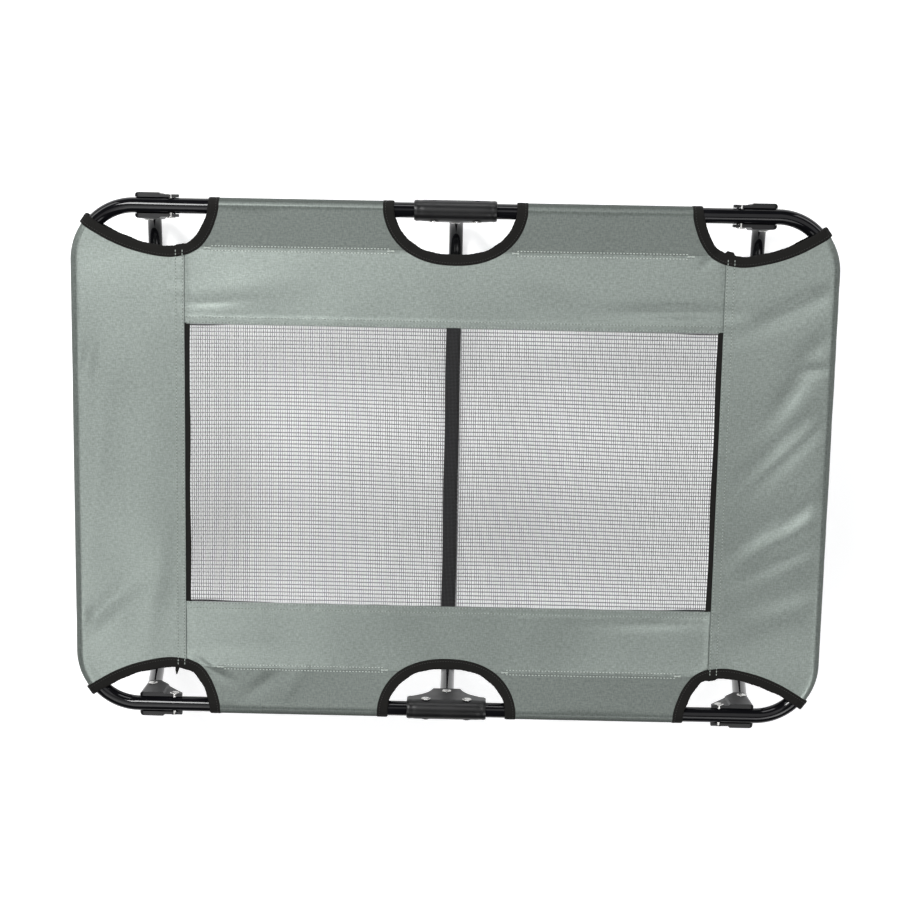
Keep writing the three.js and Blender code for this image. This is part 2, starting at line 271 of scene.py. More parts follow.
# ---- Materials ----
class Shader:
    """A Principled material and short ways to add nodes to it."""

    def __init__(self, name, color, roughness, **values):
        self.material = bpy.data.materials.new(name)
        self.material.use_nodes = True
        self.tree = self.material.node_tree
        self.surface = self.tree.nodes["Principled BSDF"]
        self.color = color
        self.surface.inputs["Base Color"].default_value = (*color, 1)
        self.surface.inputs["Roughness"].default_value = roughness
        for socket, value in values.items():
            self.surface.inputs[socket.replace("_", " ")].default_value = value

    def add(self, kind, inputs=(), **settings):
        """A node with its settings and its inputs, which are numbers or other nodes' outputs."""
        made = self.tree.nodes.new(kind)
        for setting, value in settings.items():
            setattr(made, setting, value)
        for socket, value in dict(inputs).items():
            if isinstance(value, bpy.types.NodeSocket):
                self.tree.links.new(value, made.inputs[socket])
            else:
                made.inputs[socket].default_value = value
        return made

    def math(self, operation, a, b=0.0):
        return self.add("ShaderNodeMath", {0: a, 1: b}, operation=operation).outputs[0]

    def pattern(self):
        """Millimetres along and across the cloth."""
        uv = self.add("ShaderNodeUVMap", uv_map="pattern").outputs[0]
        split = self.add("ShaderNodeSeparateXYZ", {0: uv})
        return uv, split.outputs[0], split.outputs[1]

    def upright(self):
        """1 where the surface is level and 0 where it is on edge."""
        normal = self.add("ShaderNodeTexCoord").outputs["Normal"]
        level = self.add("ShaderNodeSeparateXYZ", {0: normal}).outputs[2]
        return self.math("ABSOLUTE", level)

    def place(self):
        return self.add("ShaderNodeTexCoord").outputs["Object"]

    def noise(self, where, scale, stretch=(1, 1, 1), detail=3.0):
        placed = self.add("ShaderNodeMapping", {"Vector": where, "Scale": stretch}).outputs[0]
        values = {"Vector": placed, "Scale": scale, "Detail": detail}
        return self.add("ShaderNodeTexNoise", values).outputs[0]

    def wave(self, value, period):
        """From -1 to 1 and back over a period."""
        return self.math("SINE", self.math("MULTIPLY", value, 2 * math.pi / period))

    def range(self, value, low, high, start=0.25, end=0.75):
        values = {"Value": value, "From Min": start, "From Max": end, "To Min": low, "To Max": high}
        return self.add("ShaderNodeMapRange", values).outputs[0]

    def tint(self, factor):
        """The base colour times a factor that varies over the surface."""
        grey = self.add("ShaderNodeCombineXYZ", {0: factor, 1: factor, 2: factor}).outputs[0]
        inputs = {0: self.color, 1: grey}
        made = self.add("ShaderNodeVectorMath", inputs, operation="MULTIPLY").outputs[0]
        self.tree.links.new(made, self.surface.inputs["Base Color"])

    def rough(self, value):
        self.tree.links.new(value, self.surface.inputs["Roughness"])

    def bump(self, height, distance, strength):
        values = {"Height": height, "Distance": distance * MM, "Strength": strength}
        made = self.add("ShaderNodeBump", values).outputs[0]
        self.tree.links.new(made, self.surface.inputs["Normal"])


YARN = 1.1  # millimetres from one yarn to the next but one


def cloth_material(name, shade_factor, rough, gloss, crest):
    """Plain-woven coated polyester with uneven yarns and a soft shine. Its colour carries painted shade:
    over a whole copy by a factor, where the cloth tilts away from level, and on the level top of a tube by
    crest.
    """
    # painted shade: a factor below 1 gives a darker copy of the same cloth
    color = (0.108 * shade_factor, 0.123 * shade_factor, 0.115 * shade_factor)
    shader = Shader(name, color, rough, IOR=1.9, Specular_IOR_Level=1.0)
    shader.surface.inputs["Specular Tint"].default_value = (0.89 * gloss, gloss, 0.93 * gloss, 1)
    uv, u, v = shader.pattern()
    weave = shader.math("MULTIPLY", shader.wave(u, YARN), shader.wave(v, YARN))
    warp = shader.noise(uv, 1.0, (0.75, 0.22, 1), 2.0)
    weft = shader.noise(uv, 1.0, (0.2, 0.6, 1), 2.0)
    yarns = shader.math("ADD", warp, weft)
    soft = shader.noise(uv, 0.016, detail=4.0)
    fine = shader.range(yarns, 0.45, 1.55, 0.7, 1.3)
    tone = shader.math("MULTIPLY", fine, shader.range(soft, 0.96, 1.04))
    # painted shade: the colour darkens to 0.45 of itself where the cloth tilts away from level, as round a
    # tube; it is also rougher there
    edge = shader.range(shader.upright(), 1.0, 0.0, 0.78, 0.982)
    tone = shader.math("MULTIPLY", tone, shader.range(edge, 1.0, 0.45, 0, 1))
    tone = shader.math("MULTIPLY", tone, shader.range(weave, 0.93, 1.07, -1, 1))
    # painted shade: on the level top of a tube the colour darkens by up to a quarter, scaled by crest; the
    # cloth is rougher there too
    patch_wear_and_crest_shade = shader.range(shader.upright(), 0, crest, 0.98, 0.999)
    shader.tint(shader.math("MULTIPLY", tone, shader.range(patch_wear_and_crest_shade, 1.0, 0.75, 0, 1)))
    shine = shader.range(soft, rough - 0.03, rough + 0.03)
    dull = shader.math("ADD", shader.range(edge, 0, 0.45, 0, 1), shader.range(patch_wear_and_crest_shade, 0, 0.4, 0, 1))
    shader.rough(shader.math("ADD", shine, dull))
    relief = shader.math("ADD", weave, shader.range(yarns, -1.6, 1.6, 0.7, 1.3))
    shader.bump(relief, 0.03, 0.5)
    return shader.material


def thread_material(name, color):
    """Spun sewing thread, with painted shade at its ends where it dips into its needle holes."""
    shader = Shader(name, color, 0.55, Specular_IOR_Level=0.3)
    uv, u, v = shader.pattern()
    # painted shade: the colour falls to 0.05 of itself at each stitch's two ends
    hole_shade = shader.range(shader.math("ABSOLUTE", u), 1.2, 0.05, 0.24, 0.4)
    twist = shader.noise(shader.place(), 900, (1, 1, 3), 1.0)
    shader.tint(shader.math("MULTIPLY", hole_shade, shader.range(twist, 0.85, 1.15)))
    shader.bump(twist, 0.05, 0.6)
    return shader.material


def tape_material():
    """Ribbed binding tape."""
    shader = Shader("black_tape", (0.0098, 0.0095, 0.0088), 0.6, Specular_IOR_Level=0.11)
    uv, u, v = shader.pattern()
    ribs = shader.wave(u, 0.9)
    fray = shader.noise(uv, 0.5, detail=3.0)
    shader.tint(shader.range(shader.math("ADD", ribs, fray), 0.75, 1.5, -1, 2))
    shader.rough(shader.range(fray, 0.68, 0.85))
    shader.bump(shader.math("ADD", ribs, fray), 0.09, 0.7)
    return shader.material


def webbing_material():
    """Black webbing in a small diamond weave."""
    shader = Shader("black_webbing", (0.0078, 0.0078, 0.0082), 0.5, Specular_IOR_Level=0.14)
    uv, u, v = shader.pattern()
    first = shader.wave(shader.math("ADD", u, v), 3.3)
    second = shader.wave(shader.math("SUBTRACT", u, v), 3.3)
    diamonds = shader.math("MULTIPLY", first, second)
    fray = shader.noise(uv, 0.6, detail=2.0)
    shader.tint(shader.range(shader.math("ADD", diamonds, fray), 0.4, 7.0, 0.1, 1.7))
    shader.bump(diamonds, 0.22, 0.8)
    return shader.material


def hard_material(name, color, patch_wear_and_crest_shade, tints, roughs, grain, bump, **values):
    """A coated or moulded surface: worn in patches, with a fine grain. Both are a scale and a detail."""
    shader = Shader(name, color, roughs[0], **values)
    where = shader.place()
    patches = shader.noise(where, patch_wear_and_crest_shade[0], detail=patch_wear_and_crest_shade[1])
    shader.tint(shader.range(patches, *tints))
    shader.rough(shader.range(patches, *roughs))
    shader.bump(shader.noise(where, grain[0], detail=grain[1]), *bump)
    return shader.material


def net_material(name, color):
    """Coated yarns of the open net."""
    tints, roughs, bump = (0.85, 1.18), (0.34, 0.48), (0.05, 0.5)
    values = {"IOR": 1.7, "Specular_IOR_Level": 0.8}
    return hard_material(name, color, (60, 2.0), tints, roughs, (1500, 1.0), bump, **values)


def tube_material():
    """Gloss black powder coat, a little uneven, with dulled patches."""
    color, tints, roughs = (0.004, 0.004, 0.005), (0.8, 1.35), (0.06, 0.12, 0.3, 0.75)
    values = {"Specular_IOR_Level": 0.25}
    return hard_material("gloss_black", color, (35, 5.0), tints, roughs, (260, 2.0), (0.05, 0.25), **values)


def bracket_material():
    """Satin black moulding with a fine grain."""
    color, tints, roughs = (0.004, 0.004, 0.0045), (0.8, 1.4), (0.3, 0.4)
    values = {"Specular_IOR_Level": 0.36}
    return hard_material("satin_black", color, (45, 5.0), tints, roughs, (1400, 2.0), (0.03, 0.3), **values)


def rivet_material():
    """Bright nickel with fine turning marks."""
    shader = Shader("nickel", (0.62, 0.615, 0.60), 0.2, Metallic=1.0)
    where = shader.place()
    marks = shader.noise(where, 700, (1, 0.1, 1), 3.0)
    dull = shader.noise(where, 90, detail=4.0)
    shader.tint(shader.range(dull, 0.82, 1.08))
    shader.rough(shader.range(marks, 0.12, 0.3))
    shader.bump(marks, 0.02, 0.4)
    return shader.material


CLOTH_LOOK = cloth_material("sage_weave", 1.0, 0.34, 1.0, 0.0)
# The sleeves' cloth is the same weave with painted shade: darker all over, less shiny, and darker still on
# a tube's top.
SHADED_SLEEVE_LOOK = cloth_material("sage_weave_shaded_copy", 0.66, 0.44, 0.7, 1.0)
THREAD_LOOK = thread_material("sage_thread", (0.40, 0.44, 0.41))
# The seam and hem stitching uses the same thread as the sleeves, made darker as painted shade.
SHADED_SEAM_THREAD_LOOK = thread_material("sage_thread_shaded_copy", (0.29, 0.325, 0.30))
DARK_THREAD_LOOK = thread_material("dark_thread", (0.030, 0.029, 0.028))
TAPE_LOOK = tape_material()
WEBBING_LOOK = webbing_material()
NET_LOOK = net_material("net_yarn", (0.045, 0.045, 0.049))
NET_CROSS_LOOK = net_material("net_cross_yarn", (0.20, 0.20, 0.21))
TUBE_LOOK = tube_material()
BRACKET_LOOK = bracket_material()
RIVET_LOOK = rivet_material()


def attach(piece, slot, body, *replaced):
    """The piece rides on a body; if body is a side, its placement is only baked into its points."""
    if body in SIDES:
        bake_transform(piece)
    else:
        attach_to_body(piece, body)
    if replaced:
        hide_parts(*replaced)
    return piece


# ---- Tubes ----
ROUND, RIVET_ROUND = 40, 28  # sides of a tube and of a rivet
BEND = 26  # steps in a quarter turn


def u_path(arm_start, arm_end, half_span, bend_r):
    """A U in two directions: down one arm, across, and up the other."""
    points = [(arm_start, half_span)]
    for turn, sign in ((0, 1), (1, -1)):
        for angle in np.linspace(0, math.pi / 2, BEND + 1) + turn * math.pi / 2:
            across = sign * (half_span - bend_r) + bend_r * math.cos(angle)
            points.append((arm_end - bend_r + bend_r * math.sin(angle), across))
    points.append((arm_start, -half_span))
    return np.array(points)


def tube_rings(path, normal, radius):
    """Rings round a flat path. radius is a number, or one for each point."""
    forward = tangents(path)
    forward[0], forward[-1] = unit(path[1] - path[0]), unit(path[-1] - path[-2])
    up = np.cross(forward, normal)
    angles = circle(ROUND)[None, :, None]
    ring = np.cos(angles) * np.asarray(normal, float)[None, None] + np.sin(angles) * up[:, None]
    radius = np.broadcast_to(radius, len(path))[:, None, None]
    return path[:, None] + radius * ring


def rail_tube(side_name, side):
    """A half-frame's bent tube. Its two ends are swaged round about the hinge rivets."""
    flat = u_path(HINGE_X, END_X, RAIL_Y, CORNER_R)
    ball = np.linspace(math.pi / 2 - 0.05, 0.05, 9)
    caps = [(HINGE_X - TUBE_R * math.sin(a), TUBE_R * math.cos(a)) for a in ball]
    first = [(x, RAIL_Y) for x, _ in caps]
    last = [(x, -RAIL_Y) for x, _ in reversed(caps)]
    flat = np.array([*first, *flat, *last])
    tip = [r for _, r in caps]
    radius = np.array(tip + [TUBE_R] * (len(flat) - 2 * len(tip)) + tip[::-1])
    path = np.column_stack([side * flat[:, 0], flat[:, 1], np.full(len(flat), RAIL_Z)])
    rings = tube_rings(path, (0, 0, 1), radius)
    faces = closed_faces(len(path), ROUND)
    piece = add_mesh(f"{side_name}_rail_tube", rings, faces, TUBE_LOOK, flip=side > 0)
    attach(piece, "tube", f"{side_name}_half", f"{side_name}_frame_tube")


def leg_tube(name, body, replaced, pivot, top, splay):
    """A leg bent from one open-ended tube, hanging from its pivots and leaning by an angle."""
    drop = (pivot[2] - TUBE_R) / math.cos(splay)
    flat = u_path(-top, drop, RAIL_Y, LEG_BEND_R)
    down = np.array([math.sin(splay), 0, -math.cos(splay)])
    path = np.array([pivot[0], 0, pivot[2]]) + flat[:, :1] * down
    path[:, 1] = flat[:, 1]
    normal = np.array([math.cos(splay), 0, math.sin(splay)])
    outer = tube_rings(path, normal, TUBE_R)
    inner = tube_rings(path, normal, TUBE_R - TUBE_WALL)[::-1]
    rings = np.concatenate([outer, inner])
    faces = grid_faces(len(rings), ROUND, wrap_rows=True, wrap_columns=True)
    piece = add_mesh(name, rings, faces, TUBE_LOOK)
    attach(piece, "tube", body, replaced)


def make_tubes():
    for side_name, side in SIDES.items():
        rail_tube(side_name, side)
        pivot = LEG_PIVOT * (side, 1, 1)
        body = f"{side_name}_leg"
        leg_tube(f"{side_name}_leg_tube", body, body, pivot, LEG_TOP, side * LEG_SPLAY)
    pivot = node_centre("centre_leg_rivet_rear")
    leg_tube("centre_leg_tube", "centre", "centre_leg", pivot, RAIL_Z - 1 - pivot[2], 0.0)


# ---- Brackets and rivets ----
def bell_bottom(x):
    """Lower edge of a saddle's side plates, below the rail, at a distance from its middle."""
    t = np.linspace(0, 1, 60)
    control = np.array([(BELL_HALF, -BELL_DROP), (BELL_HALF + 6, -19), (SADDLE_HALF, -12)])
    a, b, c = (1 - t) ** 2, 2 * t * (1 - t), t * t
    curve = a[:, None] * control[0] + b[:, None] * control[1] + c[:, None] * control[2]
    return np.where(np.abs(x) < BELL_HALF, -BELL_DROP, np.interp(np.abs(x), curve[:, 0], curve[:, 1]))


def saddle(end_name, end):
    """A bracket over both tube ends: a half-round back with bell-shaped side plates."""
    lip, tip = 3.0, 1.0
    xs = [-SADDLE_HALF, tip - SADDLE_HALF, lip - SADDLE_HALF]
    xs = np.array([*xs, *np.linspace(5 - SADDLE_HALF, SADDLE_HALF - 5, 56), *[-x for x in reversed(xs)]])
    back = np.linspace(0, math.pi, 25)
    rows = []
    for x in xs:
        near_end = SADDLE_HALF - abs(x)
        groove = 0.35 * math.exp(-(((near_end - 7) / 3) ** 2))
        r = SADDLE_R - 0.9 * (1 - smooth_step(0, lip, near_end)) - groove
        plate = np.linspace(0, 1, 12) * bell_bottom(x)
        front = [(-r, z) for z in plate[:0:-1]]
        top = [(-r * math.cos(a), r * math.sin(a)) for a in back]
        rear = [(r, z) for z in plate[1:]]
        rows.append([(x, end * RAIL_Y + y, RAIL_Z + z) for y, z in front + top + rear])
    rows = np.array(rows)
    faces = grid_faces(*rows.shape[:2])
    name = f"saddle_bracket_{end_name}"
    piece = add_mesh(name, rows, faces, BRACKET_LOOK, flip=True)
    bevel(thicken(piece, SADDLE_WALL, -1), 0.8, 35)
    attach(piece, "bracket", "centre", f"centre_bracket_{end_name}")


def rivet(node, body):
    """A round-headed rivet along Y in place of its CAD node. Its outer head is nearly flush."""
    low, high = node_box(node)
    centre, half = (low + high) / 2, (high[1] - low[1]) / 2
    head_r, head_high, shank_r, dimple = (high[2] - low[2]) / 2 - 0.6, 1.0, 3.0, 1.6
    half, seat = half - 0.8, half - 2.2
    dome = [(head_r * math.sin(a), seat + 0.4 + head_high * math.cos(a)) for a in np.linspace(0.3, 1.5, 9)]
    profile = [(0.01, half - 0.75), (0.9, half - 0.7), (dimple, half - 0.12)]
    profile += [*dome, (head_r, seat + 0.3), (head_r - 0.1, seat), (shank_r, seat)]
    profile = [(r, -y) for r, y in profile] + [(r, y) for r, y in reversed(profile)]
    angles = circle(RIVET_ROUND)
    out = math.copysign(1, centre[1])
    sunk = [y if y * out < seat else out * (seat - 0.9 + 0.3 * (y * out - seat)) for _, y in profile]
    rows = [[(r * math.cos(a), y, r * math.sin(a)) for a in angles] for (r, _), y in zip(profile, sunk)]
    faces = closed_faces(len(rows), RIVET_ROUND)
    piece = add_mesh(f"{node}_head", np.array(rows) + centre, faces, RIVET_LOOK, flip=True)
    attach(piece, "rivet", body, node)


def make_fittings():
    for end_name, end in ENDS.items():
        saddle(end_name, end)
        rivet(f"centre_leg_rivet_{end_name}", "centre")
    for side_name in SIDES:
        for end_name in ENDS:
            corner = f"{side_name}_{end_name}"
            rivet(f"hinge_rivet_{corner}", "centre")
            rivet(f"rail_rivet_{corner}", f"{side_name}_half")
            rivet(f"leg_rivet_{corner}", f"{side_name}_half")
            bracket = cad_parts[f"end_bracket_{corner}"]
            bracket.data.materials.clear()
            bracket.data.materials.append(BRACKET_LOOK)
            weld = bracket.modifiers.new("weld", "WELD")
            weld.merge_threshold = 0.01 * MM
            bevel(bracket, 0.7, 30)


# ---- Shape of the cover ----
def leave_angle(height, reach, radius):
    """Angle from a tube's top at which a straight sheet meets it, coming from a point that far away."""
    return math.asin(radius / math.hypot(height, reach)) - math.atan2(height, reach)


SLEEVE_ANGLE = leave_angle(SHEET_Z - RAIL_Z, STITCH_IN, SLEEVE_R)
SLEEVE_TOUCH = RAIL_Y - SLEEVE_R * math.sin(SLEEVE_ANGLE)
UNDER_SLEEVE = np.array([0, -math.sin(SLEEVE_ANGLE), -math.cos(SLEEVE_ANGLE)])
SEAM_DIP = 0.6  # a side panel's end dips under the end panel
END_EDGE_Z = SHEET_Z + 1.35  # an end panel lies over the side panels' ends
END_UNDER_Z = RAIL_Z - 0.9  # its lower sheet at the seam

# Soft folds in the cloth: x, y, direction in degrees, length, width and height.
FOLDS = [
    (262, 187, 1, 62, 8, -1.5),
    (282, 176, 0, 40, 6, 0.6),
    (-282, 190, 4, 36, 6, -0.6),
    (-250, 205, 8, 60, 16, 0.4),
    (-292, -256, -24, 26, 5, -1.3),
    (-262, -226, 6, 50, 12, 0.7),
    (240, -188, 2, 60, 8, 0.5),
    (120, 215, -12, 60, 18, 0.45),
    (-120, -225, 14, 60, 18, 0.45),
    (404, 196, 27, 62, 11, -2.1),
    (424, 150, 38, 38, 10, -1.2),
    (398, 92, 62, 62, 12, -2.0),
    (432, 124, 8, 26, 6, -1.4),
    (384, 52, 50, 66, 15, 1.8),
    (404, 26, 47, 70, 12, -2.4),
    (424, -30, 58, 50, 12, 1.1),
    (404, -76, 34, 55, 13, -1.7),
    (372, -58, 48, 55, 15, 0.9),
    (408, -118, 28, 50, 13, -1.0),
    (412, -166, 22, 50, 12, -0.6),
    (-414, -178, 42, 52, 11, -1.6),
    (-392, -190, 36, 50, 13, 0.8),
    (-436, 108, 70, 36, 10, -1.3),
    (-420, 20, 82, 120, 16, 0.7),
    (-440, -60, 84, 100, 10, -0.6),
    (-360, -60, 88, 150, 20, 0.4),
    (-352, -150, 80, 70, 12, 0.5),
    (352, 200, 84, 60, 12, 0.5),
    (-226, -274, 38, 26, 8, -0.9),
    (-186, -270, 62, 22, 8, 0.6),
    (-300, -246, -38, 16, 4, -1.0),
    (296, 246, 40, 14, 5, -0.8),
]
FOLD_STRENGTH = 1.25
PUCKER_WIDTH = 7.0
RIPPLES = np.random.default_rng(7).uniform(-1, 1, (26, 4))


def wrinkle(x, y):
    """How far the cloth stands out at a place, from its folds and a fine unevenness."""
    total = np.zeros(np.broadcast(x, y).shape)
    for fold_x, fold_y, turn, length, width, height in FOLDS:
        c, s = math.cos(math.radians(turn)), math.sin(math.radians(turn))
        along = (x - fold_x) * c + (y - fold_y) * s
        across = (y - fold_y) * c - (x - fold_x) * s
        total += FOLD_STRENGTH * height * np.exp(-((along / length) ** 2) - (across / width) ** 2)
    for i, (a, b, c, d) in enumerate(RIPPLES):
        total += 0.05 * np.sin(a * x / (9 + i) + b * y / (11 + i) + 9 * c) * (1 + 0.3 * d)
    return total


def stitch_pucker(across, along):
    """Small waves in the cloth beside a line of stitches."""
    wave = 0.6 * np.sin(along / 2.3 + 1.7 * np.sin(along / 17)) + 0.4 * np.sin(along / 4.1)
    return 0.16 * wave * np.exp(-((across / PUCKER_WIDTH) ** 2))


def side_height(x, y, side, end, window):
    """Top sheet of a side panel. x and y are in the right rear quarter."""
    slope = smooth_step(STITCH_Y - 1, STITCH_Y + 1, y) * (y - STITCH_Y) * math.tan(SLEEVE_ANGLE)
    round_part = np.sqrt(np.maximum(SLEEVE_R**2 - (y - RAIL_Y) ** 2, 0))
    z = np.where(y < SLEEVE_TOUCH, SHEET_Z + slope, RAIL_Z + round_part)
    hem = 0.3 * (1 - smooth_step(HEM - 3, HEM + 2, y - window))
    calm = smooth_step(0, 30, x) * (1 - smooth_step(SLEEVE_TOUCH - 8, SLEEVE_TOUCH + 6, y))
    pucker = stitch_pucker(y - STITCH_Y, x * side + 30 * end) + stitch_pucker(y - window - 4, x * side)
    return z + hem + (wrinkle(side * x, end * y) + pucker) * calm


def end_row(y):
    """Rail centreline and its outward direction beside a point of the end panel's seam."""
    angle = np.arcsin(np.clip((np.abs(y) - BEND_CENTRE[1]) / CORNER_R, 0, 0.99))
    x = BEND_CENTRE[0] + CORNER_R * np.cos(angle)
    return x, np.cos(angle), np.sign(y) * np.sin(angle)


def end_height(x, y, side):
    """Top sheet of an end panel. x is on the right, y is the real one."""
    centre_x, _, _ = end_row(y)
    share = np.clip((x - SEAM_X) / (centre_x - SEAM_X), 0, 1)
    z = END_EDGE_Z + (RAIL_Z + SLEEVE_R - END_EDGE_Z) * share
    calm = 1 - 0.75 * smooth_step(centre_x - 14, centre_x + 4, x)
    pucker = stitch_pucker(x - SEAM_X - 6, y + 40 * side)
    return z + (wrinkle(side * x, y) + pucker) * calm


def bend_point(angle):
    """A point of the rail centreline on its corner bend."""
    return BEND_CENTRE + CORNER_R * np.array([math.cos(angle), math.sin(angle)])


CORNER_LINE = resample(spline([*CORNER_EDGE, bend_point(CORNER_ANGLE)]), 2.5)
CORNER_OUT = np.array([math.cos(CORNER_ANGLE), math.sin(CORNER_ANGLE)])
CORNER_FIELD = np.vstack([[CORNER_EDGE[0][0], RAIL_Y + 60], CORNER_LINE, CORNER_LINE[-1] + 60 * CORNER_OUT])


def corner_distance(x, y):
    """Distance from a corner opening's edge, positive on the cloth's side."""
    place = np.stack([x, y], axis=-1).reshape(-1, 1, 2)
    start, step = CORNER_FIELD[:-1], np.diff(CORNER_FIELD, axis=0)
    share = np.clip(((place - start) * step).sum(-1) / (step**2).sum(-1), 0, 1)
    off = place - start - share[..., None] * step
    far = np.linalg.norm(off, axis=-1)
    nearest = far.argmin(1)
    rows = np.arange(len(nearest))
    turn = step[nearest, 0] * off[rows, nearest, 1] - step[nearest, 1] * off[rows, nearest, 0]
    return (-np.sign(turn) * far[rows, nearest]).reshape(np.shape(x))


def grip_distance(x, y):
    """Distance from the hand-hold's edge, about, positive on the cloth's side."""
    across, inwards = np.abs(x) / GRIP_A, np.maximum(GRIP_Y - y, 0) / GRIP_B
    level = (across**GRIP_POWER + inwards**GRIP_POWER) ** (1 / GRIP_POWER)
    return (level - 1) * np.where(y > GRIP_Y, GRIP_A, (GRIP_A + GRIP_B) / 2)


# ---- Cover pieces ----
def cut_sheet(name, points, uvs, distance, flip):
    """Cloth from a grid of points, cut inside the tape by the distance from the openings' edges."""
    value, faces = (distance + TUCK).ravel(), grid_faces(*distance.shape)
    points, uvs, faces = clip(points.reshape(-1, 3), uvs.reshape(-1, 2), faces, value)
    return thicken(add_mesh(name, points, faces, CLOTH_LOOK, uvs, sharp=180, flip=flip), CLOTH)


def side_profile(window):
    """A side panel's cross-section: y, height and the outward direction, from the window's edge."""
    under_z = RAIL_Z - 0.3
    under_angle = leave_angle(RAIL_Z - under_z, STITCH_IN, SLEEVE_R)
    arc = np.linspace(-SLEEVE_ANGLE, math.pi + under_angle, 30)
    points = [(window, SHEET_Z), (STITCH_Y, SHEET_Z)]
    points += [(RAIL_Y + SLEEVE_R * math.sin(a), RAIL_Z + SLEEVE_R * math.cos(a)) for a in arc]
    points += [(STITCH_Y - 4, under_z - 0.3)]
    return resample(points, 2.2)


def side_panel(side_name, end_name):
    side, end, window = quarter(side_name, end_name)
    profile = side_profile(window)
    xs = np.concatenate([np.arange(0, SEAM_X + 8, 3.2), [SEAM_X + 8]])
    x, y = np.meshgrid(xs, profile[:, 0])
    z = np.repeat(profile[:, 1:], len(xs), axis=1)
    top = (z > RAIL_Z + 0.2) & (y <= SLEEVE_TOUCH)
    under_seam = SEAM_DIP * smooth_step(SEAM_X - 7, SEAM_X, x)
    z = np.where(top, side_height(x, y, side, end, window) - under_seam, z)
    points = np.stack([x * side, y * end, z], axis=-1)
    run = np.repeat(run_along(profile)[:, None], len(xs), axis=1)
    uvs = np.stack([x * side, run * end], axis=-1)
    value = np.minimum(corner_distance(x, y), grip_distance(x, y))
    piece = cut_sheet(f"{end_name}_side_panel_{side_name}", points, uvs, value, side * end < 0)
    # The sleeve faces beyond the stitching get the darker copy of the cloth, which is painted shade.
    piece.data.materials.append(SHADED_SLEEVE_LOOK)
    sleeve_y = (STITCH_Y + 1.2) * MM
    for face in piece.data.polygons:
        face.material_index = int(abs(face.center.y) > sleeve_y)
    return attach(piece, "cover_cloth", side_name, f"side_panel_{end_name}_{side_name}")


def end_panel(side_name):
    """A sleeve from the seam over the end tube, round it, and back under to the seam."""
    side = SIDES[side_name]
    straight = BEND_CENTRE[1]
    bend = straight + CORNER_R * np.sin(np.radians(np.arange(3.3, 52, 3.3)))
    ys = np.concatenate([-bend[::-1], np.linspace(-straight, straight, 121), bend])
    across, around = np.linspace(0, 1, 36), np.linspace(0, math.pi, 18)[1:-1]
    rows, uvs = [], []
    for y in ys:
        centre_x, out_x, out_y = end_row(y)
        row = [(SEAM_X + (centre_x - SEAM_X) * t, y) for t in across]
        row = [(x, y, float(end_height(x, y, side))) for x, y in row]
        swell = 0.25 * float(wrinkle(side * centre_x, y))
        for a in around:
            r = SLEEVE_R + swell * (1 - a / math.pi)
            reach = r * math.sin(a)
            row.append((centre_x + reach * out_x, y + reach * out_y, RAIL_Z + r * math.cos(a)))
        under = RAIL_Z - SLEEVE_R
        rise = END_UNDER_Z - under
        row += [(SEAM_X + (centre_x - SEAM_X) * t, y, END_UNDER_Z - rise * t) for t in across[::-1]]
        uvs.append([(side * d, y) for d in run_along(row)])
        rows.append(row)
    rows = np.array(rows)
    value = corner_distance(rows[..., 0], np.abs(rows[..., 1]))
    piece = cut_sheet(f"{side_name}_end_panel", rows * (side, 1, 1), np.array(uvs), value, side > 0)
    return attach(piece, "cover_cloth", f"{side_name}_half", f"end_panel_{side_name}")


# ---- Binding ----
TO_REAR = np.array([0.0, 1.0])
TAPE_LAPS = {  # how far each corner's tape join stands out into the opening
    ("left", "rear"): 1.3,
    ("right", "rear"): 3.4,
    ("left", "front"): 0.6,
    ("right", "front"): 1.4,
}


def tape_section():
    """Tape folded over the cloth's edge: across it, and out of the cloth."""
    upper = [(-1.1, 0.42), (-0.8, 0.85), (1.0, 1.0), (3.0, 0.93), (6.5, 1.02), (9.6, 1.0), (11.0, 0.72)]
    upper += [(TAPE_WIDTH - 0.1, 0.35)]
    lower = [(b, -n) for b, n in reversed(upper)]
    return np.array(upper + [(TAPE_WIDTH, 0)] + lower) * (1, TAPE_HALF)


def cover_height(x, y, side, end, window):
    """Top sheet beside an opening, from the side panel over the seam to the end panel."""
    share = smooth_step(SEAM_X - 16, SEAM_X + 10, x)
    on_side, on_end = side_height(x, y, side, end, window), end_height(x, end * y, side)
    return on_side * (1 - share) + on_end * share


def surface_normals(line):
    """Outward directions of the top sheet at points, ignoring its folds."""
    x, y = line[:, 0], line[:, 1]
    slope = np.where(y > STITCH_Y, math.tan(SLEEVE_ANGLE), 0.0)
    centre_x, _, _ = end_row(y)
    rise = (RAIL_Z + SLEEVE_R - END_EDGE_Z) / (centre_x - SEAM_X)
    share = smooth_step(SEAM_X - 16, SEAM_X + 10, x)
    return unit(np.stack([-rise * share, -slope * (1 - share), np.ones(len(x))], axis=1))


def raised(line, heights, outward):
    """Points above a flat line, each beside its outward direction."""
    return np.column_stack([line, heights, np.broadcast_to(outward, (len(line), 3))])


def under_height(line):
    """Lower sheet of a sleeve along a side."""
    return RAIL_Z - SLEEVE_R + (RAIL_Y - line[:, 1]) / STITCH_IN * (SLEEVE_R - 1)


def wrap(centre, out, start, stop, tip=0.0):
    """The same round a tube, by the angle from its top. A tip stands out at its side."""
    angles = np.linspace(start, stop, 15)[:, None]
    normals = np.hstack([out * np.sin(angles), np.cos(angles)])
    reach = SLEEVE_R + tip * np.sin(angles) ** 4
    return np.hstack([[*centre, RAIL_Z] + reach * normals, normals])


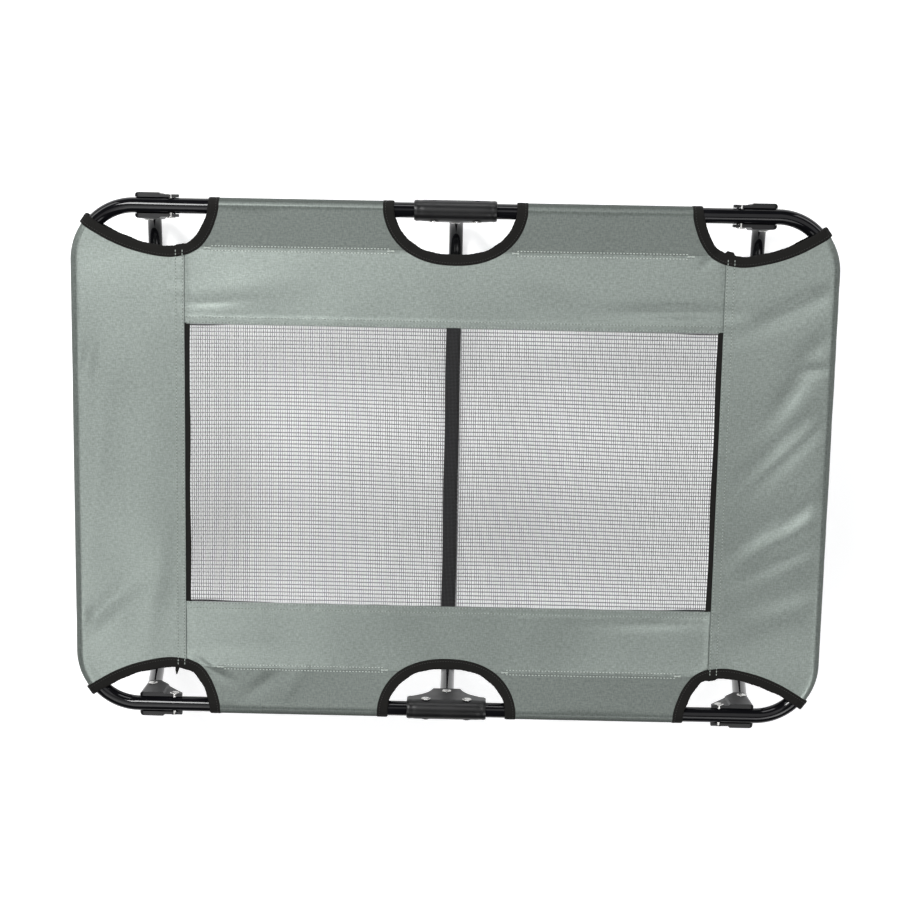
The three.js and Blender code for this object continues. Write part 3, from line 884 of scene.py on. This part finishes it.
def run_tape(name, legs, side, end, seed, lap=0.0):
    """Tape along a path in the right rear quarter, folded over the edge, and wider by a lap at the seam."""
    line = resample(np.vstack(legs), TAPE_STEP)
    path, up = line[:, :3], unit(line[:, 3:])
    for _ in range(2):
        path[1:-1] = (path[:-2] + 2 * path[1:-1] + path[2:]) / 4
        up[1:-1] = unit(up[:-2] + 2 * up[1:-1] + up[2:])
    forward = tangents(path)
    towards = unit(np.cross(up, forward))
    up = unit(np.cross(forward, towards))
    along = np.arange(len(path)) * TAPE_STEP
    waver = 0.36 * np.sin(along / 9 + seed) + 0.26 * np.sin(along / 4.3 + 2 * seed)
    waver += 0.14 * np.sin(along * 1.7 + 5 * seed)
    from_seam = np.abs(path[:, 0] - SEAM_X - 1)
    waver += lap * (1 - smooth_step(5.2, 6.8, from_seam)) * (path[:, 2] > RAIL_Z)
    section = tape_section()
    grow = 1 + waver[:, None] / TAPE_WIDTH * (section[None, :, 0] > 5)
    lift = section[None, :, 1] * (1 + 0.06 * np.sin(along / 5 + 3 * seed))[:, None]
    rows = path[:, None] + (section[None, :, 0] * grow)[..., None] * towards[:, None]
    rows = rows + lift[..., None] * up[:, None]
    uvs = np.stack(np.meshgrid(along, run_along(section), indexing="ij"), axis=-1).reshape(-1, 2)
    faces = closed_faces(*rows.shape[:2])
    piece = add_mesh(name, rows * (side, end, 1), faces, TAPE_LOOK, uvs, sharp=60, flip=side * end > 0)
    stitches = path + 2.0 * towards + (TAPE_HALF + 0.12) * up
    return piece, (stitches * (side, end, 1), up * (side, end, 1))


def corner_tape(side_name, end_name):
    side, end, window = quarter(side_name, end_name)
    line = CORNER_LINE
    sleeve = line[(line[:, 0] < SEAM_X + 2) & (line[:, 1] > STITCH_Y - 2)][:1:-1]
    on_top = line[(line[:, 1] < SLEEVE_TOUCH - 3) | (line[:, 0] > SEAM_X)][:-2]
    back = line[line[:, 0] > SEAM_X + 4][-3::-1]
    share = (back[:, 0] - SEAM_X) / (line[-1][0] - SEAM_X)
    legs = [
        raised(sleeve, under_height(sleeve), UNDER_SLEEVE),
        wrap(line[0], TO_REAR, math.pi, -SLEEVE_ANGLE),
        raised(on_top, cover_height(*on_top.T, side, end, window), surface_normals(on_top)),
        wrap(line[-1], CORNER_OUT, 0, math.pi, tip=2.6),
        raised(back, END_UNDER_Z - (SLEEVE_R - 0.9) * share, (0, 0, -1)),
    ]
    name = f"corner_tape_{side_name}_{end_name}"
    seed = 1.3 * side + 0.7 * end
    piece, stitches = run_tape(name, legs, side, end, seed, TAPE_LAPS[side_name, end_name])
    attach(piece, "binding", f"{side_name}_half", f"corner_binding_{side_name}_{end_name}")
    return stitches


def loose_end():
    """An untrimmed end of tape that hangs into the left front opening from the seam."""
    middles = [(-327.2, -245, 202.2), (-327.8, -251, 202.0), (-328.8, -257, 200.8), (-330.0, -264, 198.0)]
    widths = [5.4, 5.6, 4.6, 1.3]
    rows = []
    widths = np.interp(np.linspace(0, 3, 16), range(4), widths)
    for (x, y, z), width in zip(spline(middles, 5), widths):
        corners = [(-0.5, 0.5), (0, 0.7), (0.5, 0.3), (0.5, -0.5), (-0.5, -0.3)]
        rows.append([(x + width * a, y + 0.5 * a, z + b) for a, b in corners])
    attach(ribbon("loose_tape_end", rows, TAPE_LOOK, (1, 1.2)), "binding", "left_half")


def grip_tape(side_name, end_name):
    side, end, window = quarter(side_name, end_name)
    power = 2 / GRIP_POWER
    angles = np.linspace(0, math.acos(((GRIP_Y - SLEEVE_TOUCH) / GRIP_B) ** (1 / power)), 48)
    line = np.stack([GRIP_A * np.sin(angles) ** power, GRIP_Y - GRIP_B * np.cos(angles) ** power], axis=1)
    line = resample(line, 2.2)
    back = line[line[:, 1] > STITCH_Y][-2::-1]
    legs = [
        raised(line, side_height(*line.T, side, end, window), surface_normals(line)),
        wrap((line[-1][0], RAIL_Y), TO_REAR, 0, math.pi),
        raised(back, under_height(back), UNDER_SLEEVE),
    ]
    piece, stitches = run_tape(f"grip_tape_{end_name}_{side_name}", legs, side, end, 0.4)
    attach(piece, "binding", side_name, f"grip_binding_{end_name}_{side_name}")
    return stitches


# ---- Stitching ----
SLEEVE_ROWS = {  # where each quarter's sleeve stitching starts and ends
    ("left", "rear"): (76, 289),
    ("right", "rear"): (72, 275),
    ("left", "front"): (77, 275),
    ("right", "front"): (71, 279),
}
STITCH = {"pitch": 3.9, "length": 3.5, "radius": 0.52}


def stitch_shapes(lines, pitch, length, radius):
    """Short rounded stitches along lines, each a pair of points and outward directions."""
    sides = circle(6)
    shares = np.array([-0.5, -0.36, 0.0, 0.36, 0.5])
    sizes = np.array([0.3, 0.85, 1.0, 0.85, 0.3])
    sink = np.array([-0.75, -0.1, 0.15, -0.1, -0.75]) * radius
    points, faces, uvs = [], [], []
    for path, normals in lines:
        line = resample(np.hstack([path, normals]), pitch)
        middles = (line[:-1, :3] + line[1:, :3]) / 2
        ways, ups = unit(line[1:, :3] - line[:-1, :3]), unit(line[:-1, 3:] + line[1:, 3:])
        for middle, way, up in zip(middles, ways, ups):
            across = unit(np.cross(way, up))
            first = len(points)
            for share, size, drop in zip(shares, sizes, sink):
                centre = middle + share * length * way + drop * up
                for a in sides:
                    points.append(centre + size * radius * (math.cos(a) * across + 0.8 * math.sin(a) * up))
                    uvs.append((share, a))
            faces += closed_faces(len(shares), len(sides), first)
    return points, faces, uvs


def add_stitches(name, lines, material, slot, body, **sizes):
    points, faces, uvs = stitch_shapes(lines, **{**STITCH, **sizes})
    return attach(add_mesh(name, points, faces, material, uvs), slot, body)


def upwards(count):
    return np.tile([0.0, 0.0, 1.0], (count, 1))


STITCH_LIFT = 0.42  # of a stitch's middle above the middle of the cloth


def on_side(xs, y, side_name, end_name, lift=STITCH_LIFT):
    """A line on a side panel, for stitches."""
    side, end, window = quarter(side_name, end_name)
    ys = np.broadcast_to(y, len(xs))
    z = side_height(xs, ys, side, end, window) + lift
    return np.stack([side * xs, end * ys, z], axis=1), upwards(len(xs))


def on_end(x, ys, side_name):
    """A line on an end panel at one x, for stitches."""
    side = SIDES[side_name]
    xs = np.full(len(ys), x)
    z = end_height(xs, ys, side) + STITCH_LIFT
    return np.stack([side * xs, ys, z], axis=1), upwards(len(ys))


def bartack(x, side_name, end_name):
    """A dense zigzag that locks the end of a sleeve's stitching."""
    xs = x + np.linspace(-4, 4, 15)
    ys = STITCH_Y + 1.7 * np.where(np.arange(15) % 2, 1, -1)
    return on_side(xs, ys, side_name, end_name, 0.5)


def sew(side_name, end_name):
    """Stitching of one quarter of the cover, apart from the end seams."""
    window = WINDOW[end_name]
    edge_rows = [on_side(np.arange(0, SEAM_X, 3.0), window + d, side_name, end_name) for d in (1.8, 7.8)]
    name = f"window_stitching_{end_name}_{side_name}"
    add_stitches(name, edge_rows, SHADED_SEAM_THREAD_LOOK, "cover_cloth", side_name)
    first, last = SLEEVE_ROWS[side_name, end_name]
    rows = [on_side(np.arange(first, last, 3.0), STITCH_Y + d, side_name, end_name) for d in (-2.9, 2.5)]
    name = f"sleeve_stitching_{end_name}_{side_name}"
    body = f"{side_name}_half"
    add_stitches(name, rows, THREAD_LOOK, "cover_cloth", body)
    tacks = [bartack(x, side_name, end_name) for x in (first - 1, last + 1)]
    name = f"bartacks_{end_name}_{side_name}"
    add_stitches(name, tacks, THREAD_LOOK, "cover_cloth", body, pitch=3.6, length=4.2, radius=0.3)


def sew_seam(side_name):
    reach = CORNER_EDGE[4][1] + TAPE_WIDTH - 3
    lines = [on_end(SEAM_X + d, np.arange(-reach, reach + 1, 3.0), side_name) for d in (1.8, 9.6)]
    for path, _ in lines:
        path[:, 2] += 0.8 * smooth_step(CORNER_EDGE[4][1] - 4, CORNER_EDGE[4][1] + 1, np.abs(path[:, 1]))
    add_stitches(f"seam_stitching_{side_name}", lines, SHADED_SEAM_THREAD_LOOK, "cover_cloth", f"{side_name}_half")


# ---- Net, webbing and edges of the window ----
NET_PITCH = (2.65, 4.6)
NET_YARN = {"lengthways": 0.95, "across": 1.35}  # widths
NET_THICK = 0.40
NET_Z = RAIL_Z + 0.6


def net(side_name):
    """Half of the window's net, woven yarn by yarn over and under."""
    side = SIDES[side_name]
    xs = np.arange(STRAP_HALF - 4, SEAM_X + 5, NET_PITCH[0])
    ys = np.arange(-WINDOW["front"] - 5, WINDOW["rear"] + 5, NET_PITCH[1])
    points, faces = [], []
    rng = np.random.default_rng(11)

    def yarn(places, along_x):
        first = len(points)
        half_w, half_t = NET_YARN["across" if along_x else "lengthways"] / 2, NET_THICK / 2
        section = [(-half_w, 0), (-half_w / 2, half_t), (half_w / 2, half_t), (half_w, 0), (0, -half_t)]
        for x, y, z in places:
            for across, up in section:
                offset = (0, across, up) if along_x else (across, 0, up)
                points.append((x + offset[0], y + offset[1], z + offset[2]))
        faces.extend(closed_faces(len(places), len(section), first))

    def height(x, y, over):
        sag = 0.8 * (1 - (2 * x / SEAM_X - 1) ** 2) * (1 - (y / 168) ** 2)
        return NET_Z + (0.16 if over else -0.16) - sag

    for i, x in enumerate(xs):
        drift = 0.10 * rng.normal()
        places = []
        for j, y in enumerate(ys):
            bow = 0.315 * math.sin(y / 61 + x / 140)
            places.append((side * (x + drift + bow), y, height(x, y, (i + j) % 2)))
        yarn(places, False)
    crossing = len(faces)
    for j, y in enumerate(ys):
        drift = 0.16 * rng.normal()
        places = []
        for i, x in enumerate(xs):
            bow = 1.6 * math.sin(x / 74 + side) * math.cos(y / 120)
            places.append((side * x, y + drift + bow, height(x, y, (i + j) % 2 == 0)))
        yarn(places, True)
    piece = add_mesh(f"net_{side_name}", points, faces, NET_LOOK)
    piece.data.materials.append(NET_CROSS_LOOK)
    across = np.arange(len(faces)) >= crossing
    piece.data.polygons.foreach_set("material_index", across.astype(np.int32))
    return attach(piece, "mesh", side_name, f"mesh_{side_name}")


def strip(name, middle, half, short, z, half_t, material, waver):
    """A flat strip of webbing along Y with rounded edges, stopping short of the window's edges."""
    section = [(-half, 0), (-half + 0.35, half_t), (-half * 0.5, half_t), (0, half_t)]
    section += [(-a, n) for a, n in reversed(section[:-1])]
    section = np.array(section + [(a, -n) for a, n in reversed(section[1:-1])])
    ys = np.arange(short - WINDOW["front"], WINDOW["rear"] - short + 2, 4)
    rows = []
    for y in ys:
        shift = middle + waver * math.sin(y / 23)
        rows.append([(shift + a, y, z + n) for a, n in section])
    uvs = [(a + half, y) for y in ys for a, _ in section]
    faces = closed_faces(len(ys), len(section))
    return add_mesh(name, rows, faces, material, uvs, sharp=60, flip=True)


def window_tape(side_name, end_name):
    """Black tape under the window's long edges. It shows a little near the corners."""
    side, end, window = quarter(side_name, end_name)
    z = RAIL_Z - 0.25
    rows = []
    for x in np.arange(0, SEAM_X + 6, 4.0):
        show = 2.0 * smooth_step(205, 300, x + 12 * side * end) + 0.3 * math.sin(x / 11)
        inner, outer = window - show, window + 6
        section = [(inner, 0), (inner + 0.4, 0.35), (outer, 0.35), (outer, -0.3), (inner + 0.4, -0.3)]
        rows.append([(side * x, end * y, z + up) for y, up in section])
    name = f"window_tape_{end_name}_{side_name}"
    attach(ribbon(name, rows, TAPE_LOOK, (4, 2), side * end > 0), "binding", side_name)


def make_window():
    strap = strip("centre_webbing", 0, STRAP_HALF, 0, NET_Z + 0.75, 0.6, WEBBING_LOOK, 0.35)
    attach(strap, "webbing", "centre", "centre_strap")
    ys = np.arange(-WINDOW["front"], WINDOW["rear"], 4.0)
    lines = []
    for x in (-0.84 * STRAP_HALF, 0.84 * STRAP_HALF):
        path = np.stack([x + 0.35 * np.sin(ys / 23), ys, np.full(len(ys), NET_Z + 1.45)], axis=1)
        lines.append((path, upwards(len(ys))))
    add_stitches("webbing_stitching", lines, DARK_THREAD_LOOK, "webbing", "centre", radius=0.28)
    nets = {}
    for side_name, side in SIDES.items():
        nets[side_name] = net(side_name)
        middle = side * (SEAM_X - 0.1)
        selvage = strip(f"selvage_{side_name}", middle, 6.1, 0.4, NET_Z + 0.35, 0.35, TAPE_LOOK, 0.5)
        attach(selvage, "binding", f"{side_name}_half")
        for end_name in ENDS:
            window_tape(side_name, end_name)
    return nets


# ---- Assembly ----
def tape_stitches(name, line, body):
    add_stitches(name, [line], DARK_THREAD_LOOK, "binding", body, radius=0.27, pitch=3.2, length=2.4)


def make_cover():
    sheets = {}
    for side_name in SIDES:
        sheets[side_name] = end_panel(side_name)
        for end_name in ENDS:
            sheets[side_name, end_name] = side_panel(side_name, end_name)
            line = corner_tape(side_name, end_name)
            tape_stitches(f"corner_tape_stitching_{side_name}_{end_name}", line, f"{side_name}_half")
            line = grip_tape(side_name, end_name)
            tape_stitches(f"grip_tape_stitching_{end_name}_{side_name}", line, side_name)
            sew(side_name, end_name)
        sew_seam(side_name)
    loose_end()
    return sheets


# ---- Studio ----
def add_light(name, place, size, power):
    """A softbox that faces the bed."""
    data = bpy.data.lights.new(name, "AREA")
    data.shape, data.size, data.size_y, data.energy = "RECTANGLE", *size, power
    made = bpy.data.objects.new(name, data)
    made.location = place
    aim = Vector((0, 0, RAIL_Z * MM)) - made.location
    made.rotation_euler = aim.to_track_quat("-Z", "Y").to_euler()
    bpy.context.scene.collection.objects.link(made)


BOXES = [  # x, y, z, width and length in metres, and power in watts
    (-0.74, 0.98, 1.9, 0.34, 0.8, 25.0),
    (-0.8, -0.2, 2.0, 0.9, 0.9, 2.6),
    (-0.8, -0.8, 2.0, 0.9, 0.9, 3.8),
    (-0.8, -1.4, 2.0, 0.9, 0.9, 6.0),
    (-0.1, 0.4, 2.0, 0.8, 0.9, 1.6),
    (0.7, 0.5, 2.0, 1.3, 1.3, 6.4),
    (0.7, -1.4, 2.0, 0.9, 0.9, 8.4),
    (1.4, -1.4, 2.0, 0.9, 0.9, 10.9),
    (1.56, 1.56, 0.95, 0.9, 0.7, 8.4),
    (0.0, 2.2, 0.95, 0.9, 0.7, 10.2),
    (-1.56, 1.56, 0.95, 0.9, 0.7, 10.6),
]
FLOOR_HALF = 9000


def make_world(scene):
    """A pale backdrop that gives little light of its own."""
    scene.world = bpy.data.worlds.new("studio")
    scene.world.use_nodes = True
    tree = scene.world.node_tree
    dim, pale = tree.nodes["Background"], tree.nodes.new("ShaderNodeBackground")
    dim.inputs[0].default_value, dim.inputs[1].default_value = (1, 1, 1, 1), 0.03
    pale.inputs[0].default_value, pale.inputs[1].default_value = (0.93, 0.93, 0.94, 1), 0.85
    mix, path = tree.nodes.new("ShaderNodeMixShader"), tree.nodes.new("ShaderNodeLightPath")
    tree.links.new(path.outputs["Is Camera Ray"], mix.inputs[0])
    tree.links.new(dim.outputs[0], mix.inputs[1])
    tree.links.new(pale.outputs[0], mix.inputs[2])
    tree.links.new(mix.outputs[0], tree.nodes["World Output"].inputs[0])


def make_studio():
    scene = bpy.context.scene
    scene.view_settings.view_transform = "Standard"
    make_world(scene)

    floor_shader = Shader("studio_floor", (0.86, 0.86, 0.87), 0.7)
    floor_shader.surface.inputs["Emission Color"].default_value = (1, 1, 1, 1)
    floor_shader.surface.inputs["Emission Strength"].default_value = 0.48
    corners = [(x * FLOOR_HALF, y * FLOOR_HALF, -0.3) for x, y in ((-1, -1), (1, -1), (1, 1), (-1, 1))]
    floor = add_mesh("studio_floor", corners, [(0, 1, 2, 3)], floor_shader.material)

    for i, (x, y, z, width, length, power) in enumerate(BOXES):
        add_light(f"softbox_{i}", (x, y, z), (width, length), power)

    camera = bpy.data.cameras.new("camera")
    camera.lens, camera.sensor_width = 56.17, 36
    made = bpy.data.objects.new("camera", camera)
    made.location = (0.0111, 0.2413, 1.8595)
    made.rotation_euler = (-0.1329, 0.0100, 0.0188)
    scene.collection.objects.link(made)
    scene.camera = made


make_studio()
make_tubes()
make_fittings()
sheets = make_cover()
nets = make_window()
